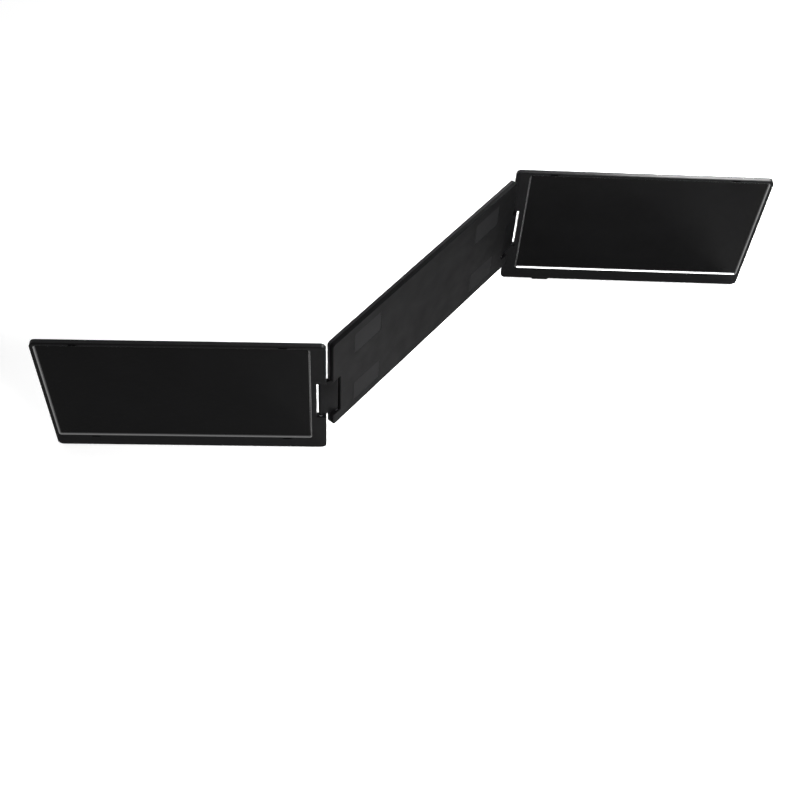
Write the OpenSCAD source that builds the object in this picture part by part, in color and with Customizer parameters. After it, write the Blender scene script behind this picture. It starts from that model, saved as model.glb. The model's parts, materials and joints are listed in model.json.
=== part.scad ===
// Twin-screen extender for a laptop.
// A flat bracket hangs behind the laptop's lid and carries a folding screen
// at each end on a double-pivot link plate, so each screen turns from behind
// the lid to flat over it.  The left screen folds first and the right screen,
// on the longer link, folds over it.
//
// Millimetres.  +X to the right, +Y away from the user, +Z up.
// The origin is the centre of the bracket's lid face.

/* [Display] */
// Width of the visible display
view_w = 293.8; // [280:0.2:300]
// Height of the visible display
view_h = 165.2; // [155:0.2:172]
// Thickness of the display glass and cell
panel_t = 1.8; // [1.2:0.1:2.0]
// Thickness of the backlight plate
backlight_t = 1.8; // [1.2:0.1:2.2]
// Dark border of the display on three sides, hidden by the bezel
panel_border = 2.0; // [1.0:0.1:2.4]
// Border below the display that carries its driver chips
panel_ledge = 6.0; // [4:0.5:8]

/* [Screen housing] */
// Flat bezel on the side away from the hinge
outer_margin = 4.2; // [3.4:0.1:8]
// Flat bezel on the hinge side
hinge_margin = 17.2; // [17:0.1:24]
// Flat bezel above the display
top_margin = 3.3; // [3.3:0.1:8]
// Flat bezel below the display
bottom_margin = 19.9; // [19:0.1:26]
// Thickness of the bezel, also the depth of its bevelled window edge
bezel_t = 2.0; // [1.4:0.1:2]
// Thickness of the whole screen housing
screen_t = 7.4; // [7.4:0.1:9]
// Wall round the edge of the housing
screen_wall = 1.6; // [1.2:0.1:1.8]
// Floor of the back cover
cover_floor = 1.2; // [1.1:0.1:1.2]
// Corner radius of the housing
screen_corner = 6; // [3.5:0.5:6]
// Bevel along the housing's edges
screen_edge = 0.6; // [0.3:0.1:0.8]

/* [Bracket] */
// Width of the bracket
bracket_w = 341; // [330:1:360]
// How far the bracket reaches below its notches
bracket_below = 19; // [14:0.5:24]
// Thickness of the bracket
bracket_t = 9.0; // [8.8:0.1:10]
// Wall of the bracket's shells
bracket_wall = 1.8; // [1.4:0.1:2.0]
// Height of the front shell's side, where the two shells meet
front_shell_t = 5.0; // [4.8:0.1:5.2]
// Corner radius of the bracket
bracket_corner = 4.0; // [3:0.5:8]
// Bevel along the bracket's edges
bracket_edge = 0.6; // [0.3:0.1:0.8]
// Thickness of the steel plate inside the bracket
stiffener_t = 1.2; // [0.8:0.1:1.4]

/* [Hinges] */
// Height of the strip below a screen's hinge that holds its sockets and keys
port_strip_h = 49; // [43:0.5:56]
// Height of the notches that the link plates turn in
notch_h = 64; // [64:1:70]
// Depth of the notches in the bracket
notch_depth = 12.7; // [12.4:0.1:13.2]
// Depth of the notch in a screen
screen_notch_depth = 11.1; // [10.6:0.1:12.4]
// Height of a link plate
link_h = 61; // [56:1:61]
// Thickness of a link plate
link_t = 5.0; // [4.4:0.1:5.4]
// Diameter of the hinge pins
pin_d = 2.5; // [2:0.1:2.8]
// Radial clearance of a pin in the link plate that turns on it
pin_running_gap = 0.05; // [0.03:0.01:0.08]
// Radial clearance of a pin where it is fixed
pin_fixed_gap = 0.02; // [0.01:0.01:0.03]
// Distance of a pin from the bracket's end
bracket_pin_inset = 9.4; // [9.2:0.1:9.7]
// Distance of a pin from the screen's hinge edge
screen_pin_inset = 6.4; // [6:0.1:7]
// Height of the steel hinge blocks
block_h = 10; // [9:0.5:10]
// How far a pin reaches into each hinge block
pin_grip = 8; // [5:0.5:9]
// Room for the laptop's lid under the folded left screen
lid_gap = 10.9; // [8:0.1:14]
// Gap between the two screens when both are folded
stack_gap = 1.6; // [0.8:0.1:2]
// Gap left between flat faces that turn past each other
turn_gap = 0.3; // [0.3:0.05:0.5]

/* [Shown pose] */
// Left link plate, degrees towards the user
left_link_angle = -22.2; // [-27:0.2:60]
// Left screen, degrees towards the user, measured from the bracket
left_screen_angle = -49.6; // [-51:0.2:60]
// Right link plate, degrees towards the user
right_link_angle = -7.8; // [-27:0.2:60]
// Right screen, degrees towards the user, measured from the bracket
right_screen_angle = 50.8; // [0:0.2:79]

/* [Kickstand] */
// Width of the kickstand
stand_w = 112; // [90:2:120]
// Distance from the kickstand's tip to the bracket's top edge
stand_top = 14; // [12:0.5:40]
// Thickness of the kickstand
stand_t = 2.4; // [2:0.1:2.6]
// Depth of the kickstand's bay in the back shell
bay_depth = 3.1; // [3:0.1:3.2]
// Height of the kickstand's pin above the bracket's bottom edge
stand_pin_height = 12; // [11:0.5:16]
// Diameter of the kickstand's pin
stand_pin_d = 1.5; // [1.2:0.1:1.7]
// Diameter of the knuckle round the kickstand's pin
knuckle_d = 2.8; // [2.6:0.1:3]

/* [Lid pads] */
// Width of an adhesive pad
pad_w = 46; // [30:1:60]
// Height of an adhesive pad
pad_h = 34; // [24:1:44]
// Thickness of an adhesive pad, which lies flush in its pocket
pad_t = 0.8; // [0.4:0.1:1.0]
// Distance of the pads' middles from the bracket's ends
pad_end_inset = 59; // [50:1:80]
// Distance of the pads' middles from the bracket's top and bottom edges
pad_edge_inset = 30; // [24:1:40]
// Diameter of a holding magnet
magnet_d = 12; // [8:1:14]
// Thickness of a holding magnet
magnet_t = 1.9; // [1.2:0.1:2.0]

/* [Rubber] */
// Length of a bezel bumper
bumper_w = 9.5; // [6:0.5:14]
// Height of a bezel bumper
bumper_h = 2.0; // [1.6:0.2:2.0]
// How far a bumper stands out of the bezel
bumper_lift = 0.4; // [0.2:0.1:0.6]
// Depth of a bumper's pocket
bumper_seat = 0.5; // [0.3:0.1:0.8]
// Distance of the bumpers from the screen's side edges
bumper_inset = 42; // [30:1:60]
// Length of the right screen's foot
foot_w = 24; // [16:1:30]
// Height of the right screen's foot
foot_h = 3.2; // [2:0.2:5]
// Distance of the foot from the hinge edge
foot_inset = 41.5; // [30:0.5:60]

/* [Ports and keys] */
// Width of a USB-C socket's shell
usb_w = 8.94; // [8.6:0.02:9.4]
// Height of a socket's shell
port_t = 3.16; // [2.8:0.02:3.2]
// Width of the video socket's shell
video_w = 11.2; // [10.4:0.1:11.8]
// Depth of a socket
port_depth = 7.3; // [6:0.1:7.6]
// Sheet thickness of a socket's shell
port_sheet = 0.3; // [0.2:0.05:0.4]
// Diameter of a key
key_d = 5.2; // [4:0.2:5.6]
// Travel of a key
key_travel = 0.4; // [0.2:0.1:0.5]
// How far a key stands out of the back cover
key_lift = 0.3; // [0.1:0.1:0.5]
// Distance between the keys
key_pitch = 10; // [8:0.5:11]

/* [Fasteners] */
// Diameter of a screw's shank
screw_d = 1.6; // [1.2:0.1:1.8]
// Diameter of a screw's head
screw_head_d = 3.2; // [2.6:0.1:3.6]
// Thickness of a screw's head
screw_head_t = 0.7; // [0.5:0.1:0.8]
// Length of a screw under its head
screw_len = 3.2; // [2.6:0.1:3.6]
// Outer diameter of a moulded screw boss
boss_d = 4.4; // [4:0.2:5]

/* [Hidden] */
$fn = 48;

past = 1;               // how far a cutter runs past the face it cuts
fit_gap = 0.15;         // clearance round fixed pieces in their openings
near_gap = 0.2;         // clearance between pieces of one housing
LEFT = -1;
RIGHT = 1;

// screen housing, derived
bevel = bezel_t;
screen_w = hinge_margin + view_w + outer_margin + 2 * bevel;
screen_h = bottom_margin + view_h + top_margin + 2 * bevel;
view_x = hinge_margin + bevel;
view_z = bottom_margin + bevel;
cover_inside = screen_t - cover_floor;      // depth of the back cover's inner face
screen_mid = screen_t / 2;
block_lift = 1.8;       // gap between the driver board and the lower hinge block
lower_block_z = port_strip_h + block_lift;
hinge_height = lower_block_z + block_h + screen_wall + notch_h / 2;
upper_block_z = hinge_height + notch_h / 2 + screen_wall;

// bracket, derived
bracket_mid = bracket_t / 2;
back_floor = bracket_t - bracket_wall;      // inner face of the back shell
stiffener_y = front_shell_t - stiffener_t;
bracket_h = screen_h - hinge_height + notch_h / 2 + bracket_below;
bracket_top = bracket_h / 2;
screen_bottom = bracket_top - screen_h;     // the screens' top edges are flush with the bracket's
hinge_z = screen_bottom + hinge_height;
pad_x = bracket_w / 2 - pad_end_inset;
pad_z = bracket_h / 2 - pad_edge_inset;

// hinges, derived
pin_r = pin_d / 2;
pin_x = bracket_w / 2 - bracket_pin_inset;
left_link_len = bracket_mid + lid_gap + screen_mid;
right_link_len = left_link_len + screen_t + stack_gap;
notch_top = hinge_z + notch_h / 2;
notch_bottom = hinge_z - notch_h / 2;
washer_t = (notch_h - link_h) / 2 - turn_gap;
washer_d = link_t - 0.2;
leaf_w = 18;            // leaf of a hinge block that lies against the stiffener
leaf_t = 1.2;
hollow_corner = bracket_corner - bracket_wall;
block_foot_gap = min(bracket_below - 2 * bracket_wall - block_h, hollow_corner);
// gap between a hinge block and the shell's end wall, which clears the hollow's rounded corner
block_end_gap = 0.1 + hollow_corner - sqrt(pow(hollow_corner, 2) - pow(hollow_corner - block_foot_gap, 2));
block_inner = bracket_w / 2 - notch_depth - bracket_wall - 2;
screen_block_w = 13;
rib_w = 1.2;            // ribs of the back cover that carry the backlight plate
rib_inset = 6;

// kickstand, derived
bay_floor = bracket_t - bay_depth;
stand_h = bracket_h - stand_pin_height - stand_top;
bay_gap = 0.5;          // gap round the stowed kickstand
stand_pin_z = -bracket_h / 2 + stand_pin_height;
rail_w = 1.2;
rail_places = [-22, -8, 8, 22];
window_pitch = 52;      // lightening windows of the steel plate
window_w = 36;
window_h = 28;
window_corner = 6;
stand_y = bracket_t - knuckle_d / 2;
knuckle_r = knuckle_d / 2;
ear_w = 6;
stand_corner = 5;
bay_below = 5.5;        // how far the bay reaches below the pin
grip_r = 9;
stand_pad_h = 4;        // rubber strip at the tip
stand_pad_inset = 2.5;
stand_pad_seat = 0.6;

// screws of the bracket
bracket_screw_x = [stand_w / 2 + 19, bracket_w / 2 - 45];
bracket_screw_z = bracket_h / 2 - 8;
bracket_screw_len = 5.4;
leaf_screw_x = [5, 13];

// driver board
board_t = 0.8;
board_x = screen_wall + 0.8;
board_z = 3.5;
board_leg_w = 13.5;
board_leg_h = port_strip_h - board_z;
board_foot_w = 188;
board_foot_h = 10.5;
usb_places = [10, 22];
video_place = 35.5;
video_slope = 1.2;       // how much the socket's back corners are cut off
port_back = 1;          // back wall of a socket
tongue_start = 2.2;
tongue_t = 0.7;
port_inset = 0.2;
vent_first = 42;
vent_pitch = 7;
vent_w = 1.4;
key_x = 12;
key_first = 11;
key_flange = 0.8;
key_flange_t = 0.5;
sunk = 0.1;             // overlap of a chip with its board
chip_places = [30, 90, 116];
chip_w = 8;
chip_h = 7;
chip_t = 1.0;
chip_corner = 0.2;
chip_lift = 2;          // above the board's bottom edge
processor_x = 58;
processor_w = 14;
connector_rim = 1;
connector_lift = 3;
connector_h = 6;
switch_d = 3;
ribbon_w = 28;
ribbon_x = board_x + board_foot_w - ribbon_w - 12;
ribbon_t = 0.2;
ribbon_lift = 4;        // above the board's bottom edge
ribbon_gap = 2;         // below the visible display

// screws of the screen housing
boss_inset = 9;
cover_boss_places = [[boss_inset, screen_h - boss_inset],
                     [boss_inset, upper_block_z + block_h + 11.5],
                     [board_x + board_foot_w + 15, boss_inset],
                     [board_x + board_foot_w + 70, boss_inset],
                     [screen_w - boss_inset, boss_inset]];
block_screw_x = 11.8;
block_screw_spread = 2.8;

// ---------------------------------------------------------------- shapes

// A slab standing on the X axis, t deep along +Y, with its four corners
// rounded and both its face edges bevelled.
module rounded_slab(w, h, t, r, edge) {
    corner = [[0, 0], [r - edge, 0], [r, edge], [r, t - edge], [r - edge, t], [0, t]];
    for (x = [r, w - r], z = [r, h - r])
        translate([x, 0, z]) rotate([-90, 0, 0]) rotate_extrude() polygon(corner);
    translate([r, 0, 0]) rotate([90, 0, 90]) linear_extrude(w - 2 * r)
        bevelled_rectangle(t, h, edge);
    translate([0, 0, r]) linear_extrude(h - 2 * r)
        bevelled_rectangle(w, t, edge);
}

module bevelled_rectangle(a, b, edge) {
    polygon([[edge, 0], [a - edge, 0], [a, edge], [a, b - edge],
             [a - edge, b], [edge, b], [0, b - edge], [0, edge]]);
}

// A slab with rounded corners and square edges.
module plain_slab(w, h, t, r) {
    translate([0, t, 0]) rotate([90, 0, 0]) linear_extrude(t) rounded_rectangle(w, h, r);
}

module rounded_rectangle(w, h, r) {
    translate([r, 0]) square([w - 2 * r, h]);
    translate([0, r]) square([w, h - 2 * r]);
    for (x = [r, w - r], y = [r, h - r]) translate([x, y]) circle(r);
}

// The cutter of a window whose edges slope inwards by one for each one of depth.
module sloped_window(w, h, t, r) {
    out = 0.4;          // the cutter starts this far in front of the face
    far = t + out;
    corner = [[0, 0], [r + out, 0], [r + out - far, far], [0, far]];
    translate([0, -out, 0]) {
        for (x = [r, w - r], z = [r, h - r])
            translate([x, 0, z]) rotate([-90, 0, 0]) rotate_extrude() polygon(corner);
        translate([r, 0, 0]) rotate([90, 0, 90]) linear_extrude(w - 2 * r)
            polygon([[0, -out], [far, far - out], [far, h + out - far], [0, h + out]]);
        translate([0, 0, r]) linear_extrude(h - 2 * r)
            polygon([[-out, 0], [w + out, 0], [w + out - far, far], [far - out, far]]);
    }
}

module slice(w, h, from, to) {
    translate([-past, from, -past]) cube([w + 2 * past, to - from, h + 2 * past]);
}

module rod(d, from, to) {
    translate([0, 0, from]) cylinder(h = to - from, d = d);
}

// A round bar along +Y.
module bar_y(d, from, to) {
    translate([0, from, 0]) rotate([-90, 0, 0]) cylinder(h = to - from, d = d);
}

// A washer's or sleeve's ring along +Z.
module ring(outer_d, inner_d, h) {
    difference() {
        cylinder(h = h, d = outer_d);
        translate([0, 0, -past]) cylinder(h = h + 2 * past, d = inner_d);
    }
}

// A countersunk screw whose flat head lies at y = head_y, its shank towards -Y.
module screw(head_y, len) {
    difference() {
        union() {
            bar_y(screw_head_d, head_y - screw_head_t, head_y);
            bar_y(screw_d, head_y - screw_head_t - len, head_y - screw_head_t);
        }
        for (turn = [0, 90]) translate([0, head_y, 0]) rotate([0, turn, 0])
            cube([screw_head_d * 0.55, screw_head_t, 0.4], center = true);
    }
}

module screw_hole(head_y, len) {
    bar_y(screw_head_d + 2 * near_gap, head_y - screw_head_t, head_y + past);
    bar_y(screw_d + 2 * pin_fixed_gap, head_y - screw_head_t - len - near_gap, head_y);
}

// ---------------------------------------------------------------- placing

module on_side(side) {
    if (side == LEFT) mirror([1, 0, 0]) children();
    else children();
}

function link_len(side) = side == LEFT ? left_link_len : right_link_len;
function link_angle(side) = side == LEFT ? left_link_angle : right_link_angle;
function screen_angle(side) = side == LEFT ? left_screen_angle : right_screen_angle;

// Origin on the bracket's pin at hinge height, X along the link plate.
module at_link(side) {
    on_side(side) translate([pin_x, bracket_mid, hinge_z])
        rotate([0, 0, -link_angle(side)]) children();
}

// Origin at the screen's lower front corner beside the hinge, X outwards.
module at_screen(side) {
    at_link(side) translate([link_len(side), 0, 0])
        rotate([0, 0, link_angle(side) - screen_angle(side)])
        translate([-screen_pin_inset, -screen_mid, -hinge_height]) children();
}

// Origin on the screen's own pin, at hinge height.
module at_screen_pin(side) {
    at_screen(side) translate([screen_pin_inset, screen_mid, hinge_height]) children();
}

module at_bracket_pins(side) {
    on_side(side) translate([pin_x, bracket_mid, hinge_z]) children();
}

// ---------------------------------------------------------------- bracket

module bracket_form() {
    translate([-bracket_w / 2, 0, -bracket_h / 2])
        rounded_slab(bracket_w, bracket_h, bracket_t, bracket_corner, bracket_edge);
}

module bracket_slice(from, to) {
    intersection() {
        bracket_form();
        translate([-bracket_w / 2, 0, -bracket_h / 2]) slice(bracket_w, bracket_h, from, to);
    }
}

module bracket_notches() {
    for (side = [LEFT, RIGHT]) on_side(side)
        translate([bracket_w / 2 - notch_depth, -past, notch_bottom])
            cube([notch_depth + past, bracket_t + 2 * past, notch_h]);
}

// The hollow of the bracket between two depths, without the walls of the notches.
module bracket_hollow(from, to) {
    difference() {
        translate([bracket_wall - bracket_w / 2, from, bracket_wall - bracket_h / 2])
            plain_slab(bracket_w - 2 * bracket_wall, bracket_h - 2 * bracket_wall,
                       to - from, hollow_corner);
        for (side = [LEFT, RIGHT]) on_side(side)
            translate([bracket_w / 2 - notch_depth - bracket_wall, from - past,
                       notch_bottom - bracket_wall])
                cube([notch_depth + bracket_wall, to - from + 2 * past,
                      notch_h + 2 * bracket_wall]);
    }
}

module bracket_pin_holes() {
    reach = notch_h / 2 + bracket_wall + past;
    for (side = [LEFT, RIGHT]) at_bracket_pins(side) rod(pin_d + 2 * fit_gap, -reach, reach);
}

module at_bracket_screws() {
    for (sx = [-1, 1], sz = [-1, 1], x = bracket_screw_x)
        translate([sx * x, 0, sz * bracket_screw_z]) children();
}

module at_pads() {
    for (sx = [-1, 1], sz = [-1, 1]) translate([sx * pad_x, 0, sz * pad_z]) children();
}

module at_magnets() {
    at_pads() for (dx = [-1, 1]) translate([dx * pad_w * 0.28, 0, 0]) children();
}

module bracket_front_shell() {
    color("#26272a") difference() {
        union() {
            difference() {
                bracket_slice(0, front_shell_t);
                bracket_hollow(bracket_wall, front_shell_t + past);
            }
            at_bracket_screws() bar_y(boss_d, bracket_wall - near_gap, front_shell_t);
            at_magnets() magnet_cup();
            stiffener_rails();
        }
        bracket_notches();
        bracket_pin_holes();
        at_pads() translate([-pad_w / 2 - fit_gap, -past, -pad_h / 2 - fit_gap])
            plain_slab(pad_w + 2 * fit_gap, pad_h + 2 * fit_gap, pad_t + past, 3);
        at_bracket_screws() screw_hole(bracket_t, bracket_screw_len);
    }
}

// The low ring that keeps a magnet in its place behind a pad.
module magnet_cup() {
    cup_wall = 1;
    translate([0, bracket_wall - near_gap, 0]) rotate([-90, 0, 0])
        ring(magnet_d + 2 * (cup_wall + fit_gap), magnet_d + 2 * fit_gap, magnet_t * 0.7);
}

// Four long rails that the steel plate rests on.
module stiffener_rails() {
    for (z = rail_places)
        translate([-pad_x, bracket_wall - near_gap, z - rail_w / 2])
            cube([2 * pad_x, stiffener_y - bracket_wall + near_gap, rail_w]);
}

// The bay that the kickstand folds into, with a round grip at its tip.
module kickstand_bay(grow, from) {
    w = stand_w + 2 * (bay_gap + grow);
    low = stand_pin_z - bay_below - grow;
    tip = stand_pin_z + stand_h;
    translate([-w / 2, from, low])
        plain_slab(w, tip + bay_gap + grow - low, bracket_t + past - from, stand_corner + grow);
    translate([0, 0, tip]) bar_y(2 * (grip_r + grow), from, bracket_t + past);
}

module bracket_back_shell() {
    color("#222326") {
        difference() {
            union() {
                difference() {
                    bracket_slice(front_shell_t, bracket_t);
                    difference() {
                        bracket_hollow(front_shell_t - past, back_floor);
                        kickstand_bay(bracket_wall, front_shell_t);
                    }
                }
                at_bracket_screws() bar_y(boss_d, front_shell_t, back_floor + near_gap);
            }
            bracket_notches();
            bracket_pin_holes();
            kickstand_bay(0, bay_floor);
            at_bracket_screws() screw_hole(bracket_t, bracket_screw_len);
        }
        kickstand_ears();
    }
}

// The two ears in the bay that hold the kickstand's pin.
module kickstand_ears() {
    ear = ear_w + bay_gap + near_gap;
    for (side = [LEFT, RIGHT]) on_side(side)
        difference() {
            translate([stand_w / 2 - ear_w, 0, stand_pin_z]) {
                translate([0, bay_floor - near_gap, -knuckle_r])
                    cube([ear, stand_y - bay_floor + near_gap, knuckle_d]);
                translate([0, stand_y, 0]) rotate([0, 90, 0]) cylinder(h = ear, d = knuckle_d);
            }
            kickstand_axis(stand_pin_d + 2 * pin_fixed_gap, stand_w / 2);
        }
}

module kickstand_axis(d, half) {
    translate([-half, stand_y, stand_pin_z]) rotate([0, 90, 0]) cylinder(h = 2 * half, d = d);
}

module kickstand_pin() {
    color("#9a9ca0") kickstand_axis(stand_pin_d, stand_w / 2);
}

// The kickstand lies in its bay, its knuckle at the bottom and its tip at the top.
module kickstand() {
    plate_low = stand_pin_z + knuckle_r + turn_gap;
    top = stand_pin_z + stand_h;
    inner_half = stand_w / 2 - ear_w - turn_gap;
    color("#2a2b2e") difference() {
        union() {
            translate([-stand_w / 2, stand_y - stand_t / 2, plate_low])
                rounded_slab(stand_w, top - plate_low, stand_t, stand_corner, 0.4);
            translate([-inner_half, stand_y - stand_t / 2, stand_pin_z])
                cube([2 * inner_half, stand_t, stand_corner + plate_low - stand_pin_z]);
            kickstand_axis(knuckle_d, inner_half);
        }
        kickstand_axis(stand_pin_d + 2 * pin_running_gap, stand_w);
        stand_pad_form(fit_gap, stand_t);
    }
}

// The rubber strip near the tip, which meets the desk when the kickstand is open.
module stand_pad_form(grow, t) {
    w = stand_w - 6 * stand_corner + 2 * grow;
    h = stand_pad_h + 2 * grow;
    translate([-w / 2, stand_y + stand_t / 2 - stand_pad_seat,
               stand_pin_z + stand_h - stand_pad_inset - grow - stand_pad_h])
        plain_slab(w, h, t, stand_pad_h / 2 - 0.1);
}

module kickstand_pad() {
    color("#18181a") stand_pad_form(0, bracket_t - stand_y - stand_t / 2 + stand_pad_seat);
}

module bracket_stiffener() {
    half_w = block_inner - 1.5;
    half_h = bracket_h / 2 - bracket_wall - 3;
    color("#8d9094") difference() {
        translate([-half_w, stiffener_y, -half_h]) plain_slab(2 * half_w, 2 * half_h, stiffener_t, 4);
        at_bracket_screws() bar_y(boss_d + 2 * fit_gap, 0, bracket_t);
        for (i = [-2 : 2]) translate([i * window_pitch - window_w / 2, 0, -window_h / 2])
            plain_slab(window_w, window_h, bracket_t, window_corner);
        for (side = [LEFT, RIGHT]) at_leaf_screws(side)
            bar_y(screw_d + 2 * pin_fixed_gap, 0, bracket_t);
    }
}

module bracket_screws() {
    color("#4a4c50") at_bracket_screws() screw(bracket_t, bracket_screw_len);
}

module lid_pads() {
    color("#3a3b3e") at_pads() translate([-pad_w / 2, 0, -pad_h / 2]) plain_slab(pad_w, pad_h, pad_t, 3);
}

module lid_magnets() {
    color("#b9bbbf") at_magnets() bar_y(magnet_d, bracket_wall, bracket_wall + magnet_t);
}

// A pair of steel blocks, one above and one below the notch, each with a leaf
// that is screwed to the steel plate.
module bracket_hinge_blocks(side) {
    outer = bracket_w / 2 - bracket_wall - block_end_gap;
    inner = block_inner;
    color("#77797d") difference() {
        for (z = block_floors()) on_side(side) {
            translate([inner, bracket_wall, z]) cube([outer - inner, back_floor - bracket_wall, block_h]);
            translate([inner - leaf_w, stiffener_y - leaf_t, z]) cube([leaf_w, leaf_t, block_h]);
        }
        at_bracket_pins(side) rod(pin_d + 2 * pin_fixed_gap, -bracket_h, bracket_h);
        at_leaf_screws(side) bar_y(screw_d + 2 * pin_fixed_gap, 0, bracket_t);
    }
}

function block_floors() = [notch_top + bracket_wall, notch_bottom - bracket_wall - block_h];

module at_leaf_screws(side) {
    for (z = block_floors(), dx = leaf_screw_x) on_side(side)
        translate([block_inner - leaf_w + dx, 0, z + block_h / 2]) children();
}

module bracket_left_hinge_blocks() { bracket_hinge_blocks(LEFT); }
module bracket_right_hinge_blocks() { bracket_hinge_blocks(RIGHT); }

module hinge_block_screws() {
    color("#4a4c50") for (side = [LEFT, RIGHT]) at_leaf_screws(side)
        screw(front_shell_t + screw_head_t, stiffener_t + leaf_t);
}

module bracket_pin(side) {
    reach = notch_h / 2 + bracket_wall + pin_grip;
    color("#a8aaae") at_bracket_pins(side) rod(pin_d, -reach, reach);
}

module bracket_left_pin() { bracket_pin(LEFT); }
module bracket_right_pin() { bracket_pin(RIGHT); }

// A washer above and below the link plate, seated on the notch's ends.
module washer_pair() {
    for (z = [notch_h / 2 - washer_t, -notch_h / 2]) translate([0, 0, z])
        ring(washer_d, pin_d + 2 * pin_fixed_gap, washer_t);
}

module bracket_washers() {
    color("#8d9094") for (side = [LEFT, RIGHT]) at_bracket_pins(side) washer_pair();
}

// ---------------------------------------------------------------- links

// A plate with a full round barrel at each end, bored for the two pins.
module link_plate(side) {
    len = link_len(side);
    color("#242528") at_link(side) difference() {
        union() {
            for (x = [0, len]) translate([x, 0, 0]) rod(link_t, -link_h / 2, link_h / 2);
            translate([0, -link_t / 2, -link_h / 2]) cube([len, link_t, link_h]);
        }
        for (x = [0, len]) translate([x, 0, 0])
            rod(pin_d + 2 * pin_running_gap, -link_h, link_h);
    }
}

module left_link_plate() { link_plate(LEFT); }
module right_link_plate() { link_plate(RIGHT); }

// ---------------------------------------------------------------- screens

module screen_form(from, to) {
    intersection() {
        rounded_slab(screen_w, screen_h, screen_t, screen_corner, screen_edge);
        slice(screen_w, screen_h, from, to);
    }
}

module screen_notch() {
    translate([-past, -past, hinge_height - notch_h / 2])
        cube([screen_notch_depth + past, screen_t + 2 * past, notch_h]);
}

module at_bumpers() {
    for (x = [bumper_inset, screen_w - bumper_inset - bumper_w],
         z = [screen_h - screen_edge - bumper_h - 0.1, bottom_margin - bumper_h - 1.2])
        translate([x, 0, z]) children();
}

module at_cover_bosses() {
    for (place = cover_boss_places) translate([place[0], 0, place[1]]) children();
}

module at_block_screws() {
    for (z = screen_block_floors(), dz = [-block_screw_spread, block_screw_spread])
        translate([block_screw_x, 0, z + block_h / 2 + dz]) children();
}

function screen_block_floors() = [upper_block_z, lower_block_z];

module bezel(side) {
    color("#1f2023") at_screen(side) difference() {
        union() {
            screen_form(0, bezel_t);
            at_cover_bosses() bar_y(boss_d, bezel_t - near_gap, cover_inside);
        }
        screen_notch();
        translate([hinge_margin, 0, bottom_margin])
            sloped_window(view_w + 2 * bevel, view_h + 2 * bevel, bezel_t + near_gap, 3.2);
        at_bumpers() translate([-fit_gap / 2, -past, -fit_gap / 2])
            plain_slab(bumper_w + fit_gap, bumper_h + fit_gap, bumper_seat + past, 0.6);
        at_cover_bosses() screw_hole(screen_t, screw_len);
    }
}

module left_bezel() { bezel(LEFT); }
module right_bezel() { bezel(RIGHT); }

// The inside of the back cover, without the walls round the hinge notch.
module cover_hollow() {
    difference() {
        translate([screen_wall, bezel_t - past, screen_wall])
            plain_slab(screen_w - 2 * screen_wall, screen_h - 2 * screen_wall,
                       cover_inside - bezel_t + past, screen_corner - screen_wall);
        translate([0, 0, hinge_height - notch_h / 2 - screen_wall])
            cube([screen_notch_depth + screen_wall, screen_t, notch_h + 2 * screen_wall]);
    }
}

module cover_vents() {
    for (i = [0 : 13]) translate([vent_first + vent_pitch * i, cover_inside - near_gap, board_z + 1])
        plain_slab(vent_w, board_foot_h - 2, cover_floor + past, vent_w * 0.49);
}

module back_cover(side) {
    rib_depth = cover_inside - bezel_t - panel_t - backlight_t;
    color("#202124") at_screen(side) difference() {
        union() {
            difference() {
                screen_form(bezel_t, screen_t);
                cover_hollow();
            }
            for (i = [1 : 3])
                translate([view_x + i * view_w / 4, cover_inside - rib_depth, view_z + rib_inset])
                    cube([rib_w, rib_depth + near_gap, view_h - 2 * rib_inset]);
        }
        screen_notch();
        translate([screen_pin_inset, screen_mid, hinge_height])
            rod(pin_d + 2 * fit_gap, -notch_h / 2 - screen_wall - past, notch_h / 2 + screen_wall + past);
        port_holes();
        at_keys() bar_y(key_d + 2 * turn_gap, cover_inside - near_gap, screen_t + past);
        cover_vents();
        at_cover_bosses() screw_hole(screen_t, screw_len);
        at_block_screws() screw_hole(screen_t, screw_len);
    }
}

module left_back_cover() { back_cover(LEFT); }
module right_back_cover() { back_cover(RIGHT); }

module display(side) {
    color("#101013") at_screen(side)
        translate([view_x - panel_border, bezel_t, view_z - panel_ledge])
            plain_slab(view_w + 2 * panel_border, view_h + panel_ledge + panel_border, panel_t, 1);
}

module left_display() { display(LEFT); }
module right_display() { display(RIGHT); }

module backlight(side) {
    rim = 1.5;
    color("#d8dade") at_screen(side)
        translate([view_x - rim, bezel_t + panel_t, view_z - rim])
            plain_slab(view_w + 2 * rim, view_h + 2 * rim, backlight_t, 1);
}

module left_backlight() { backlight(LEFT); }
module right_backlight() { backlight(RIGHT); }

// An L-shaped board with its chips, the ribbon's connector and the key switches.
module driver_board(side) {
    back = bezel_t + board_t;
    color("#1f4a35") at_screen(side) {
        translate([board_x, bezel_t, board_z]) {
            plain_slab(board_leg_w, board_leg_h, board_t, 0.5);
            plain_slab(board_foot_w, board_foot_h, board_t, 0.5);
        }
        for (x = chip_places) translate([x, back - sunk, board_z + chip_lift])
            plain_slab(chip_w, chip_h, chip_t + sunk, chip_corner);
        translate([processor_x, back - sunk, board_z + chip_lift])
            plain_slab(processor_w, chip_h, chip_t + sunk, chip_corner);
        translate([ribbon_x - connector_rim, back - sunk, board_z + connector_lift])
            plain_slab(ribbon_w + 2 * connector_rim, connector_h, panel_t - board_t + sunk, chip_corner);
        at_keys() bar_y(switch_d, back - sunk, key_flange_y() - key_travel - turn_gap);
    }
}

module left_driver_board() { driver_board(LEFT); }
module right_driver_board() { driver_board(RIGHT); }

module display_ribbon(side) {
    color("#a06a2c") at_screen(side)
        translate([ribbon_x, bezel_t + panel_t, board_z + ribbon_lift])
            plain_slab(ribbon_w, view_z - ribbon_gap - board_z - ribbon_lift, ribbon_t, chip_corner);
}

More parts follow.
